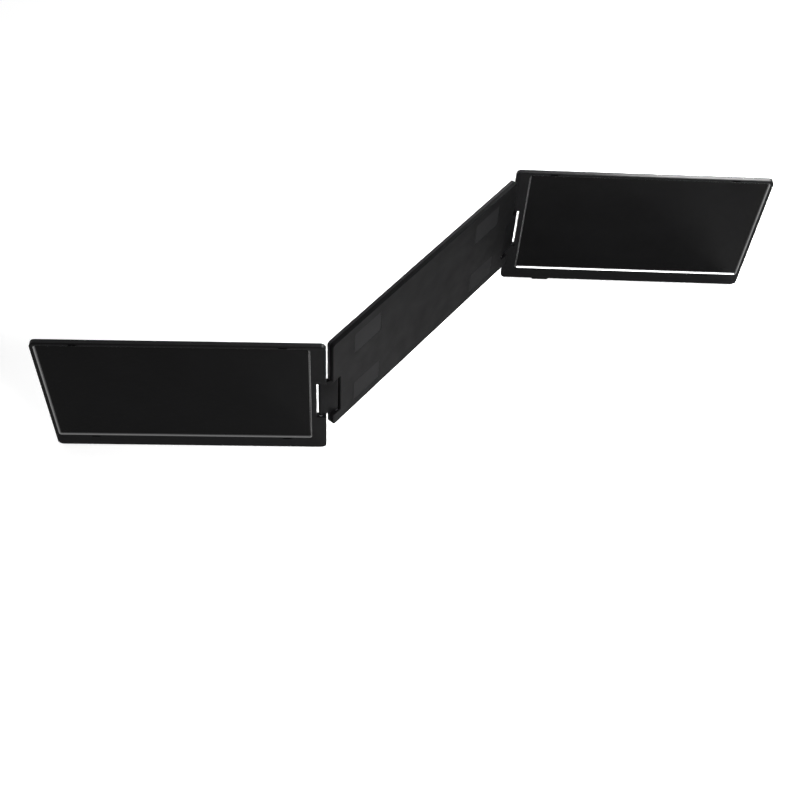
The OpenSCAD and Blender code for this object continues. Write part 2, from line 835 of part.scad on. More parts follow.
module left_display_ribbon() { display_ribbon(LEFT); }
module right_display_ribbon() { display_ribbon(RIGHT); }

// A pair of steel blocks inside the housing, above and below its notch.
module screen_hinge_blocks(side) {
    color("#77797d") at_screen(side) difference() {
        for (z = screen_block_floors()) translate([screen_wall + near_gap, bezel_t, z])
            cube([screen_block_w, cover_inside - bezel_t, block_h]);
        translate([screen_pin_inset, screen_mid, 0]) rod(pin_d + 2 * pin_fixed_gap, 0, screen_h);
        at_block_screws() screw_hole(screen_t, screw_len);
    }
}

module left_hinge_blocks() { screen_hinge_blocks(LEFT); }
module right_hinge_blocks() { screen_hinge_blocks(RIGHT); }

module screen_pin(side) {
    reach = notch_h / 2 + screen_wall + pin_grip;
    color("#a8aaae") at_screen_pin(side) rod(pin_d, -reach, reach);
}

module left_screen_pin() { screen_pin(LEFT); }
module right_screen_pin() { screen_pin(RIGHT); }

module left_washers() { color("#8d9094") at_screen_pin(LEFT) washer_pair(); }
module right_washers() { color("#8d9094") at_screen_pin(RIGHT) washer_pair(); }

module cover_screws(side) {
    color("#4a4c50") at_screen(side) {
        at_cover_bosses() screw(screen_t, screw_len);
        at_block_screws() screw(screen_t, screw_len);
    }
}

module left_cover_screws() { cover_screws(LEFT); }
module right_cover_screws() { cover_screws(RIGHT); }

module bumpers(side) {
    color("#121214") at_screen(side) at_bumpers() translate([0, -bumper_lift, 0])
        plain_slab(bumper_w, bumper_h, bumper_lift + bumper_seat, 0.6);
}

module left_bumpers() { bumpers(LEFT); }
module right_bumpers() { bumpers(RIGHT); }

// The rubber foot under the right screen, with sloping ends.
module right_foot() {
    slope = 2;
    foot_y = 1;
    color("#161618") at_screen(RIGHT) translate([foot_inset, screen_t - foot_y, 0])
        rotate([90, 0, 0]) linear_extrude(screen_t - 2 * foot_y)
            polygon([[0, 0], [slope, -foot_h], [foot_w - slope, -foot_h], [foot_w, 0]]);
}

// ---------------------------------------------------------------- ports

function port_mid() = bezel_t + board_t + port_t / 2;

module at_usb() {
    for (z = usb_places) translate([0, port_mid(), z]) children();
}

module at_video() {
    translate([0, port_mid(), video_place]) children();
}

// An outline in Y and Z, carried along +X.
module along_x(len) {
    rotate([90, 0, 90]) linear_extrude(len) children();
}

// A slot with round ends.
module usb_outline(grow) {
    h = port_t + 2 * grow;
    straight = (usb_w - port_t) / 2;
    translate([-h / 2, -straight]) square([h, 2 * straight]);
    for (z = [-straight, straight]) translate([0, z]) circle(d = h);
}

// A slot whose two corners at the back are cut off.
module video_outline(grow) {
    half_t = port_t / 2 + grow;
    half_w = video_w / 2 + grow;
    polygon([[-half_t, -half_w], [0, -half_w], [half_t, video_slope - half_w],
             [half_t, half_w - video_slope], [0, half_w], [-half_t, half_w]]);
}

module port_holes() {
    reach = screen_wall + 2 * past;
    at_usb() translate([-past, 0, 0]) along_x(reach) usb_outline(fit_gap);
    at_video() translate([-past, 0, 0]) along_x(reach) video_outline(fit_gap);
}

// The tongue inside a socket, standing on its back wall.
module tongue(w) {
    translate([tongue_start, -tongue_t / 2, -w / 2])
        cube([port_depth - tongue_start, tongue_t, w]);
}

module usb_sockets(side) {
    color("#a3a5a9") at_screen(side) at_usb() translate([port_inset, 0, 0]) {
        difference() {
            along_x(port_depth) usb_outline(0);
            translate([-past, 0, 0]) along_x(port_depth - port_back + past) usb_outline(-port_sheet);
        }
        tongue(usb_w * 0.72);
    }
}

module video_socket(side) {
    color("#a3a5a9") at_screen(side) at_video() translate([port_inset, 0, 0]) {
        difference() {
            along_x(port_depth) video_outline(0);
            translate([-past, 0, 0]) along_x(port_depth - port_back + past) video_outline(-port_sheet);
        }
        tongue(video_w * 0.72);
    }
}

module left_usb_sockets() { usb_sockets(LEFT); }
module right_usb_sockets() { usb_sockets(RIGHT); }
module left_video_socket() { video_socket(LEFT); }
module right_video_socket() { video_socket(RIGHT); }

// ---------------------------------------------------------------- keys

// Front face of a key's flange, which the cover's floor keeps in.
function key_flange_y() = cover_inside - turn_gap - key_flange_t;

module at_keys() {
    for (i = [0 : 2]) at_key(i) children();
}

module at_key(i) {
    translate([key_x, 0, key_first + key_pitch * i]) children();
}

module key(side, i) {
    color("#2b2c2f") at_screen(side) at_key(i) {
        bar_y(key_d + 2 * key_flange, key_flange_y(), key_flange_y() + key_flange_t);
        bar_y(key_d, key_flange_y() + key_flange_t - near_gap, screen_t + key_lift);
    }
}

module left_power_key() { key(LEFT, 0); }
module left_plus_key() { key(LEFT, 1); }
module left_minus_key() { key(LEFT, 2); }
module right_power_key() { key(RIGHT, 0); }
module right_plus_key() { key(RIGHT, 1); }
module right_minus_key() { key(RIGHT, 2); }

// ---------------------------------------------------------------- shown

bracket_front_shell();
bracket_back_shell();
bracket_stiffener();
bracket_screws();
lid_pads();
lid_magnets();
bracket_left_hinge_blocks();
bracket_right_hinge_blocks();
hinge_block_screws();
bracket_left_pin();
bracket_right_pin();
bracket_washers();
kickstand_pin();
kickstand();
kickstand_pad();
left_link_plate();
right_link_plate();
left_bezel();
left_back_cover();
left_display();
left_backlight();
left_driver_board();
left_display_ribbon();
left_hinge_blocks();
left_screen_pin();
left_washers();
left_cover_screws();
left_bumpers();
left_usb_sockets();
left_video_socket();
left_power_key();
left_plus_key();
left_minus_key();
right_bezel();
right_back_cover();
right_display();
right_backlight();
right_driver_board();
right_display_ribbon();
right_hinge_blocks();
right_screen_pin();
right_washers();
right_cover_screws();
right_bumpers();
right_usb_sockets();
right_video_socket();
right_power_key();
right_plus_key();
right_minus_key();
right_foot();
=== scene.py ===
# %% [markdown]
# # Twin-screen extender for a laptop
# Two slim screens hang on a flat bracket by link plates with a pivot at each end.
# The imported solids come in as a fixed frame, and this notebook dresses them:
# casings with softened edges, rubber parts, keys, and a finish for every surface.
# Sizes are millimetres on each piece's own axes, and become metres only when a
# mesh is made.

# %% Load the frame
import json

import bmesh
import bpy
import numpy as np
from mathutils import Matrix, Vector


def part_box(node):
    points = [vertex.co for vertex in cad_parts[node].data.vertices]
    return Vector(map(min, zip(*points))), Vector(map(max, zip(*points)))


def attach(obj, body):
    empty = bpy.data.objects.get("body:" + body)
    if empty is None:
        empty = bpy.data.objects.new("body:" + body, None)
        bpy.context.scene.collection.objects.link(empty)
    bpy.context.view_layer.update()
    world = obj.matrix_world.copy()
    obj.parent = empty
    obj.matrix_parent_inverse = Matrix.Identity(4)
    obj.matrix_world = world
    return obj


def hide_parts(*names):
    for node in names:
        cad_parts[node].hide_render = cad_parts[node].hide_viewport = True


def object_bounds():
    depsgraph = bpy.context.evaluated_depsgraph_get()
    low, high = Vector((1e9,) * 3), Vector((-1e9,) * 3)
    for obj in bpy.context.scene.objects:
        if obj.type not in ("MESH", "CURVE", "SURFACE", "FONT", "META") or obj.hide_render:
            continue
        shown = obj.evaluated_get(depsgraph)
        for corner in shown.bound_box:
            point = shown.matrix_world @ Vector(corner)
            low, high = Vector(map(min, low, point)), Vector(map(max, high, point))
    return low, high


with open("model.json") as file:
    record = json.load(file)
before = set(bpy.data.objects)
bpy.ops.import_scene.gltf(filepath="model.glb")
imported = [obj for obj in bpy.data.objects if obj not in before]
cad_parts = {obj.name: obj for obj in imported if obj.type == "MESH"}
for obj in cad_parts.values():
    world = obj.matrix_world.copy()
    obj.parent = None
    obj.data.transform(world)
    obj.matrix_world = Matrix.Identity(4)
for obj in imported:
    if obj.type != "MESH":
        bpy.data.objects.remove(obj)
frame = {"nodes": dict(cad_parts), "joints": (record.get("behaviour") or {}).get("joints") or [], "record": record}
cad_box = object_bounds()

MM = 0.001
SIDES = {"left": -1, "right": 1}
scene = bpy.context.scene
joints = {joint["name"]: joint for joint in frame["joints"]}

# %% [markdown]
# ## Camera
# A flat, wide thing shows most of itself from high up and to one side. The camera
# could be tracked to an empty, but a matrix built from the angles is exact and
# leaves no constraint behind. The lens shift slides the frame over the view
# without turning the camera.

# %% Directions and turns
def direction(turn, height):
    """Unit vector towards a place seen at that azimuth (0 is the front) and elevation."""
    return np.array([np.cos(height) * np.sin(turn), -np.cos(height) * np.cos(turn), np.sin(height)])


def aim(back, tilt):
    """Rotation whose Z looks along back, with X level before it is rolled by tilt about Z."""
    right = np.cross([0, 0, 1], back)
    right = right / np.linalg.norm(right)
    up = np.cross(back, right)
    rolled = np.cos(tilt) * right + np.sin(tilt) * up
    return np.stack([rolled, np.cross(back, rolled), back], 1)


def placed_matrix(rotation, location):
    """The 4 by 4 matrix of a rotation and a place."""
    matrix = np.eye(4)
    matrix[:3, :3], matrix[:3, 3] = rotation, location
    return Matrix(matrix.tolist())


print("the front lies towards", direction(0, 0))

# %% Camera
target = np.array([-77.23, 4.5, 25.21]) * MM
azimuth, elevation, roll = np.radians([-52.281, 50.64, 2.974])
distance = 1393.89 * MM
lens_mm, sensor_mm = 54.484, 36
shift_x, shift_y = 0.0199, -0.0958

camera = bpy.data.objects.new("camera", bpy.data.cameras.new("camera"))
scene.collection.objects.link(camera)
back = direction(azimuth, elevation)
camera.matrix_world = placed_matrix(aim(back, roll), target + distance * back)
camera.data.lens, camera.data.sensor_width = lens_mm, sensor_mm
camera.data.shift_x, camera.data.shift_y = shift_x, shift_y
scene.camera = camera
scene.view_settings.view_transform = "Standard"
print("camera at", [round(v, 3) for v in camera.location])

# %% [markdown]
# ## Lamps
# Black casings show little of their own colour: their shape is read from what
# they mirror. A large lamp to the side gives the soft shadows. Two small softboxes
# stand where one edge each mirrors them to the camera: the slope under the right
# display, and the right screen's top edge. Such a place is found by turning the
# line of sight over about the edge's normal. The second one has a narrow spread,
# so it lights that edge and little else.

# %% What the lamps face
sill_mm = 19
right_low, right_high = [np.array(corner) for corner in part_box("right_bezel")]
right_sill = np.array([*(right_low + right_high)[:2] / 2, right_low[2] + sill_mm * MM])
right_top_end = np.array([right_high[0], right_low[1], right_high[2]])
print("slope at", np.round(right_sill, 3), "top edge's end at", np.round(right_top_end, 3))


# %% Lamps
def softbox(name, aimed_at, turn, height, away, width, tall, power, spread=180):
    """A flat lamp at that azimuth and elevation, in degrees, from the point it faces.
    Its distance and its sizes are metres, and its power is in watts."""
    lamp = bpy.data.lights.new(name, "AREA")
    lamp.shape, lamp.size, lamp.size_y, lamp.energy = "RECTANGLE", width, tall, power
    lamp.spread = np.radians(spread)
    box = bpy.data.objects.new(name, lamp)
    scene.collection.objects.link(box)
    towards = direction(*np.radians([turn, height]))
    box.matrix_world = placed_matrix(aim(towards, 0.0), aimed_at + away * towards)
    box.visible_camera = False
    print(name, "at", np.round(aimed_at + away * towards, 2))


softbox("sill_lamp", right_sill, turn=-35, height=41, away=1.3, width=0.66, tall=0.34, power=17)
softbox("edge_lamp", right_top_end, turn=108, height=43, away=1.0, width=0.5, tall=0.36, power=6.5,
        spread=60)
softbox("side_lamp", target, turn=60, height=45, away=2.4, width=1.2, tall=1.2, power=22)

# %% [markdown]
# ## World and floor
# The surround is white and even. A world of strength 1 would wash out the black
# casings, so Light Path tells two kinds of ray apart: where the world is seen,
# straight or in a mirror, it is white, and as a lamp it is dimmer. The floor is
# pale paint that glows a little to the eye, so it reads as white and still takes
# the object's shadow.

# %% Rays that see
SEEING_RAYS = ("Is Camera Ray", "Is Glossy Ray", "Is Transmission Ray")


def seen_directly(tree):
    """A socket that is 1 on rays from the eye, a mirror or through glass, and else 0."""
    path = tree.nodes.new("ShaderNodeLightPath")
    total = path.outputs[SEEING_RAYS[0]]
    for name in SEEING_RAYS[1:]:
        largest = tree.nodes.new("ShaderNodeMath")
        largest.operation = "MAXIMUM"
        tree.links.new(total, largest.inputs[0])
        tree.links.new(path.outputs[name], largest.inputs[1])
        total = largest.outputs[0]
    return total


print("rays that see the surround:", ", ".join(SEEING_RAYS))

# %% World
AMBIENT = 0.42
world = bpy.data.worlds.new("studio")
scene.world = world
world.use_nodes = True
tree = world.node_tree
level = tree.nodes.new("ShaderNodeMapRange")
level.inputs["To Min"].default_value = AMBIENT
level.inputs["To Max"].default_value = 1.0
tree.links.new(seen_directly(tree), level.inputs["Value"])
tree.nodes["Background"].inputs["Color"].default_value = (1, 1, 1, 1)
tree.links.new(level.outputs["Result"], tree.nodes["Background"].inputs["Strength"])
print("world: 1 where it is seen,", AMBIENT, "as a lamp")

# %% Floor
floor_reach, floor_gap = 6.0, 0.0002
floor_grey, floor_roughness, floor_glow = 0.9, 0.9, 0.35
ground = cad_box[0][2] - floor_gap
floor_corners = [(x * floor_reach, y * floor_reach, ground)
                 for x, y in ((-1, -1), (1, -1), (1, 1), (-1, 1))]
floor_mesh = bpy.data.meshes.new("floor")
floor_mesh.from_pydata(floor_corners, [], [(0, 1, 2, 3)])
floor = bpy.data.objects.new("floor", floor_mesh)
scene.collection.objects.link(floor)

paint = bpy.data.materials.new("floor_paint")
paint.use_nodes = True
shader = paint.node_tree.nodes["Principled BSDF"]
shader.inputs["Base Color"].default_value = (floor_grey, floor_grey, floor_grey, 1)
shader.inputs["Roughness"].default_value = floor_roughness
shader.inputs["Specular IOR Level"].default_value = 0.0
shader.inputs["Emission Color"].default_value = (1, 1, 1, 1)
lift = paint.node_tree.nodes.new("ShaderNodeMapRange")
lift.inputs["To Max"].default_value = floor_glow
paint.node_tree.links.new(seen_directly(paint.node_tree), lift.inputs["Value"])
paint.node_tree.links.new(lift.outputs["Result"], shader.inputs["Emission Strength"])
floor_mesh.materials.append(paint)
print("floor at", round(ground, 4), "m")

# %% [markdown]
# ## How a finish is made
# A flat colour looks like a drawing. A real surface has three fine layers: a grain
# that catches the light, a soft unevenness in its gloss, and a slight drift in its
# colour. Here two noises give all three: one as fine as the grain, and one as wide
# as a thumb. Both read Object coordinates, in metres, so a pattern has the same
# real size on every piece and stays on it when it moves.

# %% Noise and ranges
NOISE_LOW, NOISE_HIGH = 0.3, 0.7        # nearly all of a noise's values lie between these
RAMP_ENDS = (0.35, 0.65)
BLUE_TRACE = 1.06


def add_noise(tree, size_mm, detail, stretch=(1, 1, 1)):
    """Noise whose features are about size_mm wide, longer where stretch is below 1."""
    place = tree.nodes.new("ShaderNodeTexCoord")
    mapping = tree.nodes.new("ShaderNodeMapping")
    mapping.inputs["Scale"].default_value = stretch
    noise = tree.nodes.new("ShaderNodeTexNoise")
    noise.inputs["Scale"].default_value = 1 / (size_mm * MM)
    noise.inputs["Detail"].default_value = detail
    tree.links.new(place.outputs["Object"], mapping.inputs["Vector"])
    tree.links.new(mapping.outputs["Vector"], noise.inputs["Vector"])
    return noise.outputs["Fac"]


def ranged(tree, factor, low, high):
    """Carries a noise over to the range from low to high."""
    carried = tree.nodes.new("ShaderNodeMapRange")
    carried.inputs["From Min"].default_value = NOISE_LOW
    carried.inputs["From Max"].default_value = NOISE_HIGH
    carried.inputs["To Min"].default_value = low
    carried.inputs["To Max"].default_value = high
    tree.links.new(factor, carried.inputs["Value"])
    return carried.outputs["Result"]


def two_colours(tree, factor, first, second):
    """Blends two colours by a noise, in a narrow ramp."""
    ramp = tree.nodes.new("ShaderNodeValToRGB")
    for stop, position, colour in zip(ramp.color_ramp.elements, RAMP_ENDS, (first, second)):
        stop.position, stop.color = position, (*colour, 1)
    tree.links.new(factor, ramp.inputs["Fac"])
    return ramp.outputs["Color"]


def grey(value):
    """The same level of red and green, with a trace more blue, as black plastic has."""
    return (value, value, value * BLUE_TRACE)


print("a mid grey:", grey(0.2))

# %% One finish
GRAIN_DETAIL, DRIFT_DETAIL, BUMP_STRENGTH = 4.0, 3.0, 0.6
finishes = {}


def finish(name, colours, roughness, grain_mm, height_mm, drift_mm=25, metallic=0.0, specular=0.5,
           stretch=(1, 1, 1), coat=0.0, index=1.5, fleck=False):
    """A material from two colours, a range of roughness, and a grain's width and height.
    The wide noise drives the roughness, and the colour too unless the finish has a fleck,
    whose colour goes with the grain."""
    made = bpy.data.materials.new(name)
    made.use_nodes = True
    tree = made.node_tree
    shader = tree.nodes["Principled BSDF"]
    shader.inputs["Metallic"].default_value = metallic
    shader.inputs["Specular IOR Level"].default_value = specular
    shader.inputs["Coat Weight"].default_value = coat
    shader.inputs["IOR"].default_value = index
    grain = add_noise(tree, grain_mm, GRAIN_DETAIL, stretch)
    drift = add_noise(tree, drift_mm, DRIFT_DETAIL)
    speckle = grain if fleck else drift
    tree.links.new(two_colours(tree, speckle, *colours), shader.inputs["Base Color"])
    tree.links.new(ranged(tree, drift, *roughness), shader.inputs["Roughness"])
    bump = tree.nodes.new("ShaderNodeBump")
    bump.inputs["Distance"].default_value = height_mm * MM
    bump.inputs["Strength"].default_value = BUMP_STRENGTH
    tree.links.new(grain, bump.inputs["Height"])
    tree.links.new(bump.outputs["Normal"], shader.inputs["Normal"])
    return made


print("grain detail", GRAIN_DETAIL, "and drift detail", DRIFT_DETAIL)

# %% [markdown]
# ## Moulded casings
# The casings are black plastic out of a spark-eroded mould, which leaves a fine
# pebble grain: low on the bezels, which are seen close up, and high on the backs,
# which are handled. The bracket's face towards the lid is in between, and darker.
# A scanned texture could carry such a grain, but a noise needs no file and never
# repeats. The casings mirror very little, so their specular level is far below
# that of bare plastic.

# %% Casing finishes
finishes["bezel"] = finish("satin_bezel", (grey(0.003), grey(0.007)), roughness=(0.36, 0.44),
                           grain_mm=0.35, height_mm=0.008, specular=0.02, fleck=True)
finishes["back_cover"] = finish("grained_cover", (grey(0.0025), grey(0.0105)),
                                roughness=(0.3, 0.36), grain_mm=0.45, height_mm=0.07,
                                specular=0.065, fleck=True)
finishes["bracket_shell"] = finish("grained_bracket", (grey(0.003), grey(0.0115)),
                                   roughness=(0.37, 0.43), grain_mm=0.45, height_mm=0.07,
                                   specular=0.08, fleck=True)
finishes["lid_face"] = finish("satin_lid_face", (grey(0.0018), grey(0.0052)),
                              roughness=(0.4, 0.5), grain_mm=0.45, height_mm=0.02,
                              specular=0.012, fleck=True)
print("casing finishes:", ", ".join(finishes))

# %% [markdown]
# ## The slope round a display
# The slope from the bezel down to the display has two zones. Its outer zone is
# polished and draws a bright line, and its root is plain satin. One finish with a
# gradient would need a mask, so the slope's faces simply have two materials. The
# polished one has a raised index of refraction, which is what makes a black
# surface mirror more.

# %% Slope finishes
finishes["bevel"] = finish("polished_bevel", (grey(0.006), grey(0.008)), roughness=(0.13, 0.17),
                           grain_mm=0.5, height_mm=0.001, specular=1.0, index=1.72)
finishes["bevel_root"] = finish("satin_bevel_root", (grey(0.005), grey(0.007)),
                                roughness=(0.15, 0.2), grain_mm=0.5, height_mm=0.001,
                                specular=0.35)
print("slope finishes made:", finishes["bevel"].name, finishes["bevel_root"].name)

# %% [markdown]
# ## Paint, rubber, glass and keys
# The kickstand is painted sheet and the link plates are anodised extrusions,
# whose grain runs up their height, the way they were drawn: their noise is
# stretched along Z. Rubber and silicone are the roughest surfaces, and the display
# is the smoothest: its drift is so wide and weak that it only keeps the glass from
# looking computed.

# %% Paint, rubber, glass and key finishes
finishes["kickstand_plate"] = finish("painted_plate", (grey(0.009), grey(0.012)),
                                     roughness=(0.36, 0.44), grain_mm=0.3, height_mm=0.008,
                                     specular=0.1)
finishes["link"] = finish("anodised_link", (grey(0.0034), grey(0.005)), roughness=(0.3, 0.38),
                          grain_mm=0.25, height_mm=0.006, specular=0.012, stretch=(1, 1, 0.2))
finishes["rubber"] = finish("soft_rubber", (grey(0.0006), grey(0.0012)), roughness=(0.7, 0.8),
                            grain_mm=0.3, height_mm=0.015, specular=0.006)
finishes["pad"] = finish("silicone_pad", (grey(0.006), grey(0.008)), roughness=(0.5, 0.6),
                         grain_mm=0.6, height_mm=0.02, specular=0.02)
finishes["display"] = finish("display_glass", (grey(0.0022), grey(0.0027)),
                             roughness=(0.07, 0.1), grain_mm=6.0, height_mm=0.0005,
                             drift_mm=60, specular=0.018)
finishes["key"] = finish("key_cap", (grey(0.018), grey(0.022)), roughness=(0.4, 0.48),
                         grain_mm=0.25, height_mm=0.01, specular=0.35)
print("finishes so far:", len(finishes))

# %% [markdown]
# ## Metals
# Steel gets nearly all of its look from what it mirrors, so it is metallic and
# its roughness is what tells one kind from another: rolled sheet, ground pins,
# stamped shells. The sheet's grain is stretched along X, the way it was rolled.
# Screws are oxidised black, which is only partly metallic.

# %% Metal finishes
finishes["steel"] = finish("plain_steel", (grey(0.36), grey(0.42)), roughness=(0.3, 0.42),
                           grain_mm=0.2, height_mm=0.006, metallic=1.0, stretch=(0.15, 1, 1))
finishes["pin_steel"] = finish("ground_pin", (grey(0.5), grey(0.56)), roughness=(0.14, 0.22),
                               grain_mm=0.15, height_mm=0.003, metallic=1.0)
finishes["screw"] = finish("black_oxide", (grey(0.03), grey(0.045)), roughness=(0.28, 0.4),
                           grain_mm=0.2, height_mm=0.004, metallic=0.6)
finishes["socket"] = finish("stamped_shell", (grey(0.45), grey(0.52)), roughness=(0.22, 0.32),
                            grain_mm=0.2, height_mm=0.004, metallic=1.0)
print("finishes so far:", len(finishes))

# %% [markdown]
# ## Pieces inside the casings
# The light guide, the driver board and its ribbon show only when a casing is
# taken off. They still have finishes of their own: a board without its green
# lacquer, or a ribbon without its amber film, wouldn't be known for what it is.
# The film's gloss is a clear coat over the colour.

# %% Finishes of the inner pieces
green, dark_green = (0.03, 0.13, 0.07), (0.02, 0.1, 0.05)
amber, dark_amber = (0.5, 0.26, 0.08), (0.42, 0.2, 0.05)
finishes["backlight"] = finish("light_guide", (grey(0.7), grey(0.76)), roughness=(0.3, 0.4),
                               grain_mm=0.8, height_mm=0.003)
finishes["board"] = finish("solder_resist", (dark_green, green), roughness=(0.28, 0.4),
                           grain_mm=0.6, height_mm=0.01, drift_mm=4)
finishes["ribbon"] = finish("amber_film", (dark_amber, amber), roughness=(0.2, 0.3),
                            grain_mm=0.5, height_mm=0.004, drift_mm=3, coat=0.3)

slot_of = {row["node"]: row["material_slot"] for row in frame["record"]["subparts"]}
for name, node in frame["nodes"].items():
    node.data.materials.clear()
    node.data.materials.append(finishes[slot_of[name]])
print(len(finishes), "finishes on", len(slot_of), "nodes")

# %% [markdown]
# ## Places
# Each screen stands at an angle of its own. A mesh could be modelled flat and its
# object turned, but a finished piece keeps its object at the origin. So a piece
# has a place: a start point and three unit axes. Its shape is written in plain
# millimetres on those axes, and one matrix product takes all of its points into
# the scene. A screen's place comes from its hinge pin and from the way its keys
# are pressed, so it follows the frame.

# %% Places
def frame_of(origin, across, deep, up):
    """Where a piece's own millimetres lie: a point and three unit axes."""
    return np.array(origin, float), np.array([across, deep, up], float)


def to_world(place, points):
    """Points in a piece's own millimetres, moved along the place's axes into metres."""
    origin, axes = place
    return origin + np.asarray(points, float) * MM @ axes


def points_of(node):
    """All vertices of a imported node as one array."""
    mesh = frame["nodes"][node].data
    points = np.empty(len(mesh.vertices) * 3, np.float32)
    mesh.vertices.foreach_get("co", points)
    return points.reshape(-1, 3).astype(float)


def span(node, place):
    """Lowest and highest corner of a node in a place's own millimetres."""
    origin, axes = place
    own = (points_of(node) - origin) @ axes.T / MM
    return own.min(0), own.max(0)


def screen_place(side):
    """A screen's own axes: across from the hinge edge, deep from its front, up its height."""
    pin = np.array(joints[side + "_screen_fold"]["pos_m"], float)
    front = np.array(joints[side + "_power_press"]["axis"], float)
    across = -SIDES[side] * np.cross(front, [0, 0, 1])
    axes = np.array([across, -front, [0, 0, 1]])
    low = ((points_of(side + "_bezel") - pin) @ axes.T).min(0)
    return pin + low @ axes, axes


bracket_place = frame_of([0, 0, 0], [1, 0, 0], [0, 1, 0], [0, 0, 1])
screen_places = {side: screen_place(side) for side in SIDES}
cover_low, cover_high = span("left_back_cover", screen_places["left"])
screen_w, screen_t, screen_h = cover_high
seam = cover_low[1]
print("screen", np.round(cover_high, 2), "mm, bezel", round(seam, 2), "mm")

# %% [markdown]
# ## Outlines
# A moulded casing is one outline that is carried from its face round its edge to
# its back. Here an outline is a function of one inset, so a whole casing is a list
# of pairs, each an inset and a depth. The same outline with the wall's thickness
# as its inset is the inside, so both sides of a wall come from one rule.

# %% Arcs and rectangles
SMALLEST_RADIUS = 0.02       # a corner that is inset to nothing keeps its points apart


def arc(centre, radius, start, end, steps):
    """Points on a circle from one angle to another, in degrees: the centre, plus the
    radius times the angle's cosine across and its sine up."""
    turn = np.radians(np.linspace(start, end, steps))
    return np.array(centre) + max(radius, SMALLEST_RADIUS) * np.stack([np.cos(turn), np.sin(turn)], 1)


def circle(centre, radius, steps):
    """An arc all the way round, whose last point isn't its first one again."""
    return arc(centre, radius, 0, 360, steps + 1)[:-1]


def rounded_outline(low, high, radius, inset, steps=7):
    """A rectangle with four quarter circles for corners, moved inwards: each quarter
    keeps its centre, and its radius loses the inset."""
    x0, z0 = low
    x1, z1 = high
    centres = [(x0 + radius, z0 + radius), (x1 - radius, z0 + radius),
               (x1 - radius, z1 - radius), (x0 + radius, z1 - radius)]
    turns = [(180, 270), (270, 360), (0, 90), (90, 180)]
    return np.concatenate([arc(c, radius - inset, *t, steps) for c, t in zip(centres, turns)])


print("points round a rectangle:", len(rounded_outline((0, 0), (9, 9), 2, 0)))

# %% Notches and edges
NOTCH_STEPS = 4
FLAT_RING = 0.2              # how far past a round edge a face has one more ring


def notch_outline(edge, deep, low, high, inset, soft=0.8):
    """The walls of a notch that is open to the left, from its top to its bottom.
    Outer corners lose the inset from their radius, and inner corners gain it."""
    return np.concatenate([
        arc((edge + soft, high + soft), soft - inset, 180, 270, NOTCH_STEPS),
        arc((edge + deep - soft, high - soft), soft + inset, 90, 0, NOTCH_STEPS),
        arc((edge + deep - soft, low + soft), soft + inset, 0, -90, NOTCH_STEPS),
        arc((edge + soft, low - soft), soft - inset, 90, 180, NOTCH_STEPS)])


def round_edge(radius, steps=5):
    """A quarter round from a side to a face, as (inset, depth) pairs: the inset is the
    radius times 1 less an angle's cosine, and the depth the same with its sine. One more
    pair lies past it on the face and keeps the face's shading flat."""
    turn = np.linspace(0, np.pi / 2, steps)
    pairs = np.stack([radius * (1 - np.cos(turn)), radius * (1 - np.sin(turn))], 1)
    return np.concatenate([pairs, [[radius + FLAT_RING, 0.0]]])


print("a round edge of 1 mm:", np.round(round_edge(1.0), 2).tolist())

# %% [markdown]
# ## Skins through rings
# To close a casing, its outlines are stacked as rings with as many points each,
# and neighbours are joined into four-sided faces. An extrude in edit mode would
# do the same by hand. As arrays it is a grid: a point's number is its ring's
# number times the points in a ring, plus its own place on the ring.

# %% Skins
def link_object(name, mesh, slot_name):
    """Puts a mesh into the scene with its finish."""
    piece = bpy.data.objects.new(name, mesh)
    scene.collection.objects.link(piece)
    mesh.materials.append(finishes[slot_name])
    return piece


def face_outwards(mesh):
    """Turns every face of a closed mesh outwards."""
    work = bmesh.new()
    work.from_mesh(mesh)
    bmesh.ops.recalc_face_normals(work, faces=work.faces)
    work.to_mesh(mesh)
    work.free()


def skin(name, rings, place, slot_name, torus=False):
    """A closed surface through rings of points with as many points each: point j of ring i
    joins its neighbours in both directions. The end rings are closed by a flat face each,
    or joined to each other on a torus."""
    rings = np.asarray(rings, float)
    count, around = rings.shape[:2]
    ring, spot = np.meshgrid(np.arange(count if torus else count - 1), np.arange(around),
                             indexing="ij")
    after, beside = (ring + 1) % count, (spot + 1) % around
    corners = [ring * around + spot, ring * around + beside,
               after * around + beside, after * around + spot]
    faces = np.stack(corners, -1).reshape(-1, 4).tolist()
    if not torus:
        faces += [list(range(around)), list(range((count - 1) * around, count * around))]
    mesh = bpy.data.meshes.new(name)
    mesh.from_pydata(to_world(place, rings.reshape(-1, 3)).tolist(), [], faces)
    face_outwards(mesh)
    return link_object(name, mesh, slot_name)


def at_depth(outline, depth):
    """An outline in width and height as a ring at that depth."""
    return np.stack([outline[:, 0], np.full(len(outline), depth), outline[:, 1]], 1)


print("a ring:", at_depth(rounded_outline((0, 0), (9, 9), 2, 0), 1.0).shape)

# %% [markdown]
# ## Pockets and holes
# A mould leaves each hole with a mouth that is a little wider. Cutting with a
# plain cylinder would leave a knife edge, which catches no light. So each cutter
# is a skin of its own whose rings grow towards the mouth, and the hole and its
# chamfer are cut in one step. Cutters that don't touch each other are joined
# first, because one boolean with many parts is quicker than many booleans.

# %% Cutters
TRACE = 0.01                 # a hair of room


def flared(start, surface, deep, chamfer, flare):
    """A hole's profile from its floor outwards, as (size, depth) pairs: straight to a
    chamfer's depth under the surface, and wider by flare as far above it. A hole that
    opens towards lower depths has a negative depth and chamfer."""
    return [(start, surface - deep), (start, surface - chamfer), (start + flare, surface + chamfer)]


def slot_radius(width):
    """The radius of a slot's round ends: half its width, less a trace, so that no two
    points of the outline meet."""
    return width / 2 - TRACE


